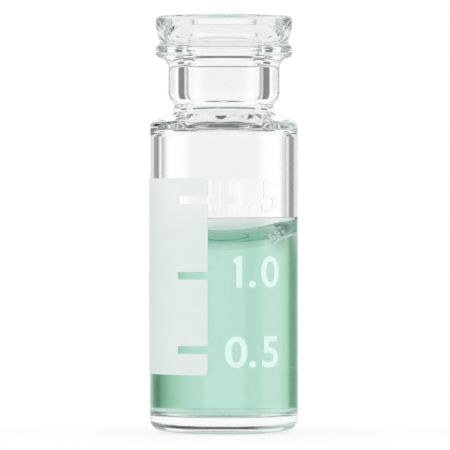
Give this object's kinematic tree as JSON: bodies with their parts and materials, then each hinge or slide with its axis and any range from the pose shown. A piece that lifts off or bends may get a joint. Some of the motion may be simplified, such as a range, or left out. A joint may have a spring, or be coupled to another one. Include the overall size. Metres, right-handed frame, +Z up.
{
  "type": "glass sample vial",
  "caption": "Clear glass sample vial with a snap and crimp finish, a white writing patch, a volume scale and green liquid inside.",
  "frame": {"origin": "on the vial's axis in the plane of its foot", "axes": "+Z up along the vial's axis, -Y to the front where the numerals are, +X to the right"},
  "size_m": [0.0117, 0.0117, 0.0326],
  "materials": {
    "clear_glass": "clear, fire-polished",
    "patch_enamel": "matte fired white enamel",
    "numeral_enamel": "fired white enamel",
    "green_liquid": "clear green liquid"
  },
  "bodies": {
    "root": {"glass_body": "clear_glass", "writing_patch": "patch_enamel", "scale_numerals": "numeral_enamel", "sample_liquid": "green_liquid"}
  },
  "joints": []
}
